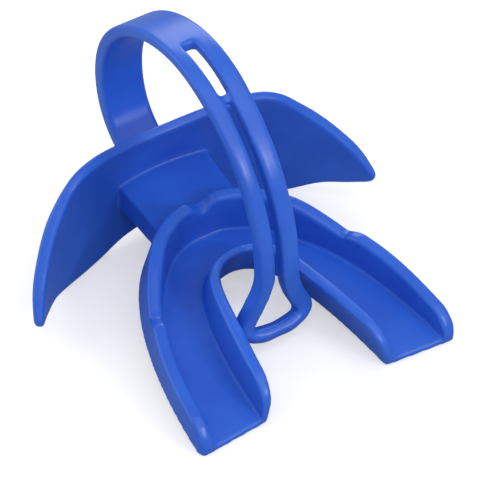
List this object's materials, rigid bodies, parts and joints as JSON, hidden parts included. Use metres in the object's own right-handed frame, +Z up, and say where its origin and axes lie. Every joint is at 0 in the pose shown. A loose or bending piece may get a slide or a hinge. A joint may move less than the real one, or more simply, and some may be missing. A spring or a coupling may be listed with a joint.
{
  "type": "mouthguard with lip guard",
  "caption": "Moulded mouthguard: horseshoe bite tray, curved lip guard joined by a short bridge, and a slotted strap that arches over it to fasten to a face mask.",
  "frame": {"origin": "on the table under the middle of the whole piece's bounding box, the piece resting on its two arm ends and the lip guard's lower edge", "axes": "+Z up from the table; +Y the way the bite tray's arms open, towards the back of the mouth; the lip guard's outside faces -Y; the piece is alike on both sides of the plane x = 0"},
  "size_m": [0.086, 0.0852, 0.0619],
  "materials": {
    "blue_plastic": "satin, flexible moulded plastic in one blue"
  },
  "bodies": {
    "root": {"mouthguard": "blue_plastic"}
  },
  "joints": []
}
